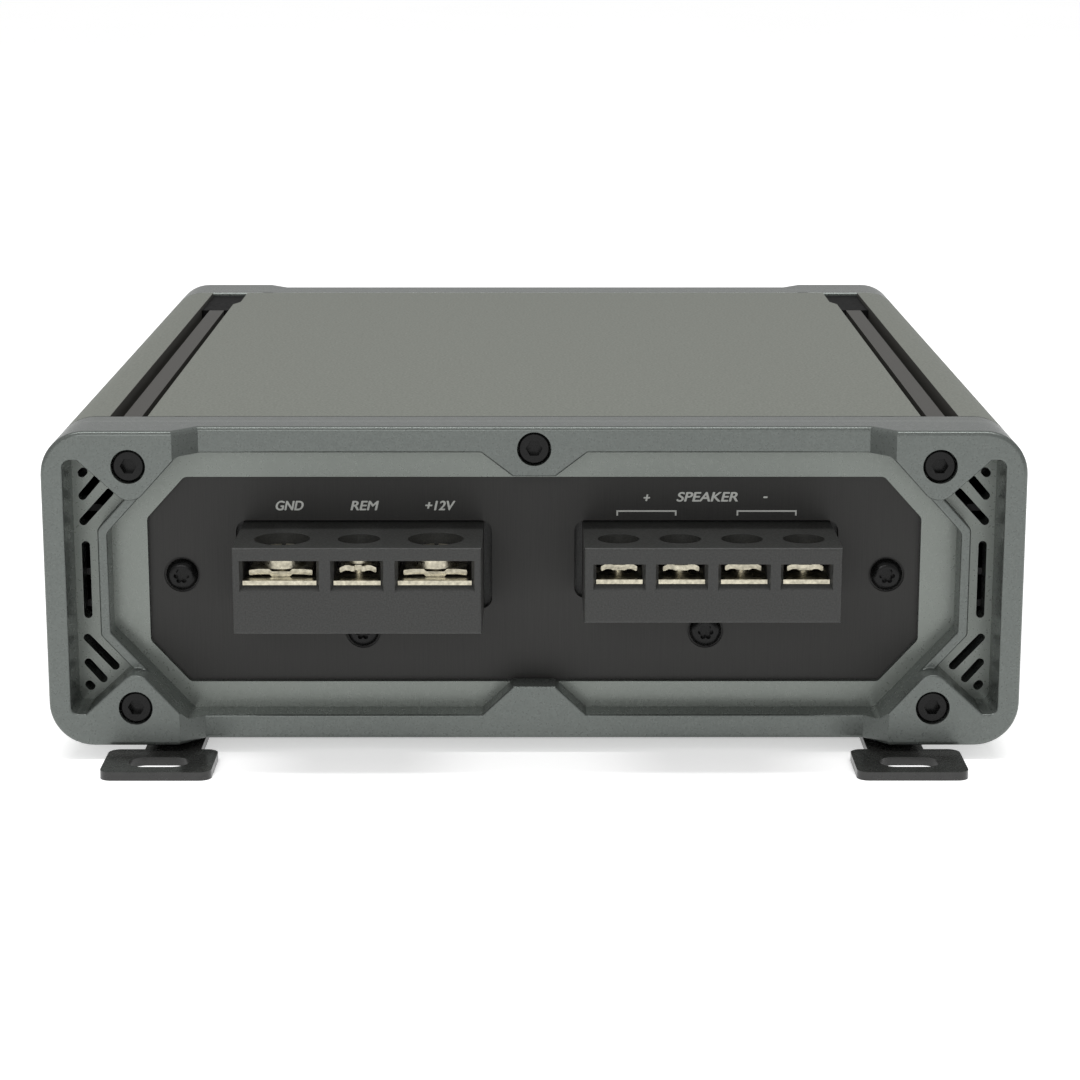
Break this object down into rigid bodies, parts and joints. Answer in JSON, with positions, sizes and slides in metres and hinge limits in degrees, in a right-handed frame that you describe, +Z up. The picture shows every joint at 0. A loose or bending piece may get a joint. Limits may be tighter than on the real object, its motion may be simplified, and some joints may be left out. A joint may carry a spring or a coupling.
{
  "type": "car amplifier",
  "caption": "Flat aluminium car amplifier with screwed end caps, screw terminal blocks, side air ducts, rotary controls and slotted mounting feet.",
  "frame": {"origin": "on the floor under the middle of the body, at the bottom centre of the bounding box", "axes": "+X to the right seen from the terminal end, +Y from the terminal end to the control end, +Z up"},
  "size_m": [0.168, 0.212, 0.058],
  "materials": {
    "painted_body": "satin grey textured paint",
    "painted_cap": "satin metallic grey paint, fine grain",
    "black_panel": "black, faint upright brushing",
    "zinc_plate": "black painted sheet steel",
    "black_steel": "semi-gloss black powder coat",
    "black_screw": "black oxide",
    "terminal_plastic": "fine spark texture",
    "nickel": "nickel plated, faintly golden",
    "black_plastic": "matt black",
    "knob_plastic": "soft satin black",
    "board_laminate": "green solder mask",
    "ferrite": "dark ferrite",
    "copper": "enamelled copper",
    "capacitor_sleeve": "glossy sleeve",
    "epoxy": "moulded epoxy",
    "silicone_pad": "grey silicone",
    "bare_steel": "zinc plated",
    "light_pipe": "translucent, polished"
  },
  "bodies": {
    "root": {"heatsink_body": "painted_body", "channel_plugs": "black_plastic", "bottom_plate": "zinc_plate", "front_end_cap": "painted_cap", "rear_end_cap": "painted_cap", "front_cap_screws": "black_screw", "rear_cap_screws": "black_screw", "front_panel": "black_panel", "front_panel_screws": "black_screw", "rear_panel": "black_panel", "rear_panel_screws": "black_screw", "power_terminal_block": "terminal_plastic", "power_contact_bars": "nickel", "speaker_terminal_block": "terminal_plastic", "speaker_contact_bars": "nickel", "front_right_foot": "black_steel", "front_left_foot": "black_steel", "rear_right_foot": "black_steel", "rear_left_foot": "black_steel", "foot_screws": "black_screw", "bottom_plate_screws": "black_screw", "circuit_board": "board_laminate", "board_standoffs": "bare_steel", "board_screws": "bare_steel", "bulk_capacitors": "capacitor_sleeve", "transformer_core": "ferrite", "transformer_winding": "copper", "inductor_core": "ferrite", "inductor_winding": "copper", "power_transistors": "epoxy", "thermal_pads": "silicone_pad", "transistor_clamp_bars": "bare_steel", "transistor_clamp_screws": "bare_steel", "rca_jack_block": "black_plastic", "rca_sleeves": "nickel", "rca_centre_contacts": "nickel", "control_pots": "black_plastic", "remote_level_jack": "black_plastic", "filter_switch_body": "black_plastic", "status_light_pipes": "light_pipe"},
    "ground_clamp": {"ground_clamp": "nickel"},
    "ground_screw": {"ground_screw": "nickel"},
    "remote_clamp": {"remote_clamp": "nickel"},
    "remote_screw": {"remote_screw": "nickel"},
    "supply_clamp": {"supply_clamp": "nickel"},
    "supply_screw": {"supply_screw": "nickel"},
    "speaker_1_clamp": {"speaker_1_clamp": "nickel"},
    "speaker_1_screw": {"speaker_1_screw": "nickel"},
    "speaker_2_clamp": {"speaker_2_clamp": "nickel"},
    "speaker_2_screw": {"speaker_2_screw": "nickel"},
    "speaker_3_clamp": {"speaker_3_clamp": "nickel"},
    "speaker_3_screw": {"speaker_3_screw": "nickel"},
    "speaker_4_clamp": {"speaker_4_clamp": "nickel"},
    "speaker_4_screw": {"speaker_4_screw": "nickel"},
    "gain_knob": {"gain_knob": "knob_plastic"},
    "crossover_knob": {"crossover_knob": "knob_plastic"},
    "bass_boost_knob": {"bass_boost_knob": "knob_plastic"},
    "filter_switch_lever": {"filter_switch_lever": "knob_plastic"}
  },
  "joints": [
    {"name": "ground_clamp_travel", "type": "slide", "parent": "root", "child": "ground_clamp", "axis": [0, 0, 1], "range_m": [-0.00002, 0.00212]},
    {"name": "ground_screw_turn", "type": "hinge", "parent": "ground_clamp", "child": "ground_screw", "pos_m": [-0.0428, -0.0965, 0.0372], "axis": [0, 0, 1], "range_deg": [-10.8, 1090.8]},
    {"name": "remote_clamp_travel", "type": "slide", "parent": "root", "child": "remote_clamp", "axis": [0, 0, 1], "range_m": [-0.00067, 0.00147]},
    {"name": "remote_screw_turn", "type": "hinge", "parent": "remote_clamp", "child": "remote_screw", "pos_m": [-0.02975, -0.0965, 0.0372], "axis": [0, 0, 1], "range_deg": [-482.9, 1058.9]},
    {"name": "supply_clamp_travel", "type": "slide", "parent": "root", "child": "supply_clamp", "axis": [0, 0, 1], "range_m": [-0.00002, 0.00212]},
    {"name": "supply_screw_turn", "type": "hinge", "parent": "supply_clamp", "child": "supply_screw", "pos_m": [-0.0167, -0.0965, 0.0372], "axis": [0, 0, 1], "range_deg": [-10.8, 1090.8]},
    {"name": "speaker_1_clamp_travel", "type": "slide", "parent": "root", "child": "speaker_1_clamp", "axis": [0, 0, 1], "range_m": [-0.00072, 0.00062]},
    {"name": "speaker_1_screw_turn", "type": "hinge", "parent": "speaker_1_clamp", "child": "speaker_1_screw", "pos_m": [0.01433, -0.0965, 0.0374], "axis": [0, 0, 1], "range_deg": [-518.9, 446.9]},
    {"name": "speaker_2_clamp_travel", "type": "slide", "parent": "root", "child": "speaker_2_clamp", "axis": [0, 0, 1], "range_m": [-0.00067, 0.00067]},
    {"name": "speaker_2_screw_turn", "type": "hinge", "parent": "speaker_2_clamp", "child": "speaker_2_screw", "pos_m": [0.02481, -0.0965, 0.0374], "axis": [0, 0, 1], "range_deg": [-482.9, 482.9]},
    {"name": "speaker_3_clamp_travel", "type": "slide", "parent": "root", "child": "speaker_3_clamp", "axis": [0, 0, 1], "range_m": [-0.00077, 0.00057]},
    {"name": "speaker_3_screw_turn", "type": "hinge", "parent": "speaker_3_clamp", "child": "speaker_3_screw", "pos_m": [0.03529, -0.0965, 0.0374], "axis": [0, 0, 1], "range_deg": [-554.9, 410.9]},
    {"name": "speaker_4_clamp_travel", "type": "slide", "parent": "root", "child": "speaker_4_clamp", "axis": [0, 0, 1], "range_m": [-0.00072, 0.00062]},
    {"name": "speaker_4_screw_turn", "type": "hinge", "parent": "speaker_4_clamp", "child": "speaker_4_screw", "pos_m": [0.04577, -0.0965, 0.0374], "axis": [0, 0, 1], "range_deg": [-518.9, 446.9]},
    {"name": "gain_turn", "type": "hinge", "parent": "root", "child": "gain_knob", "pos_m": [-0.002, 0.087, 0.03225], "axis": [0, 1, 0], "range_deg": [-135, 135]},
    {"name": "crossover_turn", "type": "hinge", "parent": "root", "child": "crossover_knob", "pos_m": [0.013, 0.087, 0.03225], "axis": [0, 1, 0], "range_deg": [-135, 135]},
    {"name": "bass_boost_turn", "type": "hinge", "parent": "root", "child": "bass_boost_knob", "pos_m": [0.028, 0.087, 0.03225], "axis": [0, 1, 0], "range_deg": [-135, 135]},
    {"name": "filter_switch_travel", "type": "slide", "parent": "root", "child": "filter_switch_lever", "axis": [0, 0, 1], "range_m": [0, 0.004]}
  ],
  "couplings": [
    {"joint": "ground_screw_turn", "follows": "ground_clamp_travel", "rad_per_m": 8976},
    {"joint": "remote_screw_turn", "follows": "remote_clamp_travel", "rad_per_m": 12566},
    {"joint": "supply_screw_turn", "follows": "supply_clamp_travel", "rad_per_m": 8976},
    {"joint": "speaker_1_screw_turn", "follows": "speaker_1_clamp_travel", "rad_per_m": 12566},
    {"joint": "speaker_2_screw_turn", "follows": "speaker_2_clamp_travel", "rad_per_m": 12566},
    {"joint": "speaker_3_screw_turn", "follows": "speaker_3_clamp_travel", "rad_per_m": 12566},
    {"joint": "speaker_4_screw_turn", "follows": "speaker_4_clamp_travel", "rad_per_m": 12566}
  ]
}
